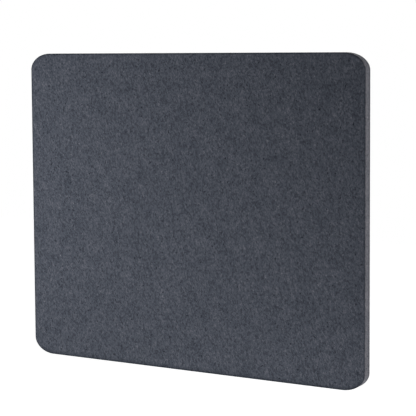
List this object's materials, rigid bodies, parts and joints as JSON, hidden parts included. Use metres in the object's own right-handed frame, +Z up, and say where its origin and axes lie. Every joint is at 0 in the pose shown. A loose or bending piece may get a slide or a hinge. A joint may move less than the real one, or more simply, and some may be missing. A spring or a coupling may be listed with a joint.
{
  "type": "acoustic divider screen",
  "caption": "Upright felt acoustic screen with rounded corners that clamps across the end of a desktop by screw clamps with swivel feet and star knobs.",
  "frame": {"origin": "midway between the clamps, on the line where the desktop's end face meets its upper face", "axes": "+X along the screen, +Y from the screen over the desktop, +Z up"},
  "size_m": [0.61, 0.072, 0.518],
  "materials": {
    "face_felt": "heathered slate-grey felt",
    "core_felt": "lighter grey pressed felt, cut edge",
    "black_powder_coat": "fine-textured matt black",
    "black_rubber": "matt",
    "black_plastic": "moulded, fine grain",
    "zinc_steel": "bright zinc plate",
    "spring_steel": "dark spring steel",
    "brass": "machined"
  },
  "bodies": {
    "screen": {"front_felt_face": "face_felt", "felt_core": "core_felt", "back_felt_face": "face_felt", "left_clamp_frame": "black_powder_coat", "left_jaw_pad": "black_rubber", "left_edge_bumper": "black_rubber", "left_screw_bush": "brass", "left_mounting_screws": "zinc_steel", "left_threaded_inserts": "brass", "right_clamp_frame": "black_powder_coat", "right_jaw_pad": "black_rubber", "right_edge_bumper": "black_rubber", "right_screw_bush": "brass", "right_mounting_screws": "zinc_steel", "right_threaded_inserts": "brass"},
    "left_carrier": {"left_retaining_ring": "spring_steel"},
    "left_screw": {"left_clamp_screw": "zinc_steel", "left_thumb_knob": "black_plastic", "left_knob_cap": "black_plastic"},
    "left_foot": {"left_foot_plate": "zinc_steel", "left_foot_pad": "black_rubber"},
    "right_carrier": {"right_retaining_ring": "spring_steel"},
    "right_screw": {"right_clamp_screw": "zinc_steel", "right_thumb_knob": "black_plastic", "right_knob_cap": "black_plastic"},
    "right_foot": {"right_foot_plate": "zinc_steel", "right_foot_pad": "black_rubber"}
  },
  "joints": [
    {"name": "left_clamp_travel", "type": "slide", "parent": "screen", "child": "left_carrier", "axis": [0, 0, 1], "range_m": [-0.008, 0.004]},
    {"name": "left_screw_spin", "type": "hinge", "parent": "left_carrier", "child": "left_screw", "pos_m": [-0.2, 0.032, -0.028], "axis": [0, 0, 1], "range_deg": [-2305, 1153]},
    {"name": "left_foot_tilt", "type": "hinge", "parent": "left_carrier", "child": "left_foot", "pos_m": [-0.2, 0.032, -0.028], "axis": [1, 0, 0], "range_deg": [-5, 5]},
    {"name": "right_clamp_travel", "type": "slide", "parent": "screen", "child": "right_carrier", "axis": [0, 0, 1], "range_m": [-0.008, 0.004]},
    {"name": "right_screw_spin", "type": "hinge", "parent": "right_carrier", "child": "right_screw", "pos_m": [0.2, 0.032, -0.028], "axis": [0, 0, 1], "range_deg": [-2305, 1153]},
    {"name": "right_foot_tilt", "type": "hinge", "parent": "right_carrier", "child": "right_foot", "pos_m": [0.2, 0.032, -0.028], "axis": [1, 0, 0], "range_deg": [-5, 5]}
  ],
  "couplings": [
    {"joint": "left_screw_spin", "follows": "left_clamp_travel", "rad_per_m": 5026.5},
    {"joint": "right_screw_spin", "follows": "right_clamp_travel", "rad_per_m": 5026.5}
  ]
}
